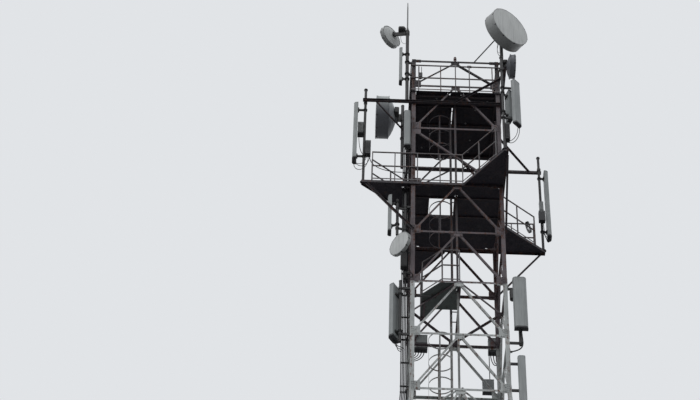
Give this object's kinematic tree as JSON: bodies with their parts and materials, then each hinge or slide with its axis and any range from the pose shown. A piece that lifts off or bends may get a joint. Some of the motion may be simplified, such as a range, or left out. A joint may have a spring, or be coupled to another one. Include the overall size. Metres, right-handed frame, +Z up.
{
  "type": "cell tower",
  "caption": "Open square lattice tower of steel angles with pinwheel deck tips, ladders in cages, round dishes, panel antennas on pipes and a whip antenna on top.",
  "frame": {"origin": "centre of the underside of the near left base plate, on the ground", "axes": "+Z up along the tower, +X along the near side to the right, +Y from the near side, which faces the picture's viewer, to the far side; the tower's axis stands at x 2.64, y 2.64 m"},
  "size_m": [5.87, 5.87, 39.85],
  "materials": {
    "base_steel": "weathered galvanised plate",
    "tower_paint": "faded paint in bands, rust at the joints",
    "deck_steel": "dark, dirty deck plate",
    "beam_paint": "faded red-brown paint with rust",
    "railing_paint": "faded paint with dirt",
    "ladder_steel": "dull paint with dirt",
    "pipe_steel": "dull galvanised pipe",
    "bracket_steel": "dull galvanised steel with rust",
    "antenna_shell": "weathered light grey",
    "dish_shell": "weathered light grey",
    "dark_dish": "dark grey, dusty",
    "radio_paint": "light grey paint",
    "whip_shell": "weathered white",
    "lamp_glass": "faded red lens on a grey foot",
    "cable_sheath": "dull black sheath"
  },
  "bodies": {
    "root": {"base_plates": "base_steel", "leg_near_left": "tower_paint", "leg_near_right": "tower_paint", "leg_far_left": "tower_paint", "leg_far_right": "tower_paint", "base_bracing": "tower_paint", "lower_bracing_near": "tower_paint", "lower_bracing_right": "tower_paint", "lower_bracing_far": "tower_paint", "lower_bracing_left": "tower_paint", "upper_bracing_near": "tower_paint", "upper_bracing_right": "tower_paint", "upper_bracing_far": "tower_paint", "upper_bracing_left": "tower_paint", "plan_bracing": "tower_paint", "main_deck": "deck_steel", "top_deck": "deck_steel", "trapdoor": "deck_steel", "rest_deck": "deck_steel", "main_deck_beams": "beam_paint", "main_deck_struts": "beam_paint", "top_deck_beams": "beam_paint", "outrigger_frame": "beam_paint", "main_deck_railing": "railing_paint", "top_deck_railing": "railing_paint", "rest_deck_railing": "railing_paint", "lower_ladder": "ladder_steel", "upper_ladder": "ladder_steel", "lower_cage": "ladder_steel", "upper_cage": "ladder_steel", "ladder_column": "ladder_steel", "tip_pipes": "pipe_steel", "leg_pipes": "pipe_steel", "tip_brackets": "bracket_steel", "leg_brackets": "bracket_steel", "dish_mounts": "bracket_steel", "cable_clamps": "bracket_steel", "tip_panels": "antenna_shell", "leg_panels": "antenna_shell", "dish_top_right": "dish_shell", "dish_top_left": "dish_shell", "dish_lower_left": "dish_shell", "drum_dish": "dark_dish", "dish_left": "dark_dish", "radio_units": "radio_paint", "whip_antenna": "whip_shell", "warning_lamp": "lamp_glass", "feeder_cables": "cable_sheath"}
  },
  "joints": []
}
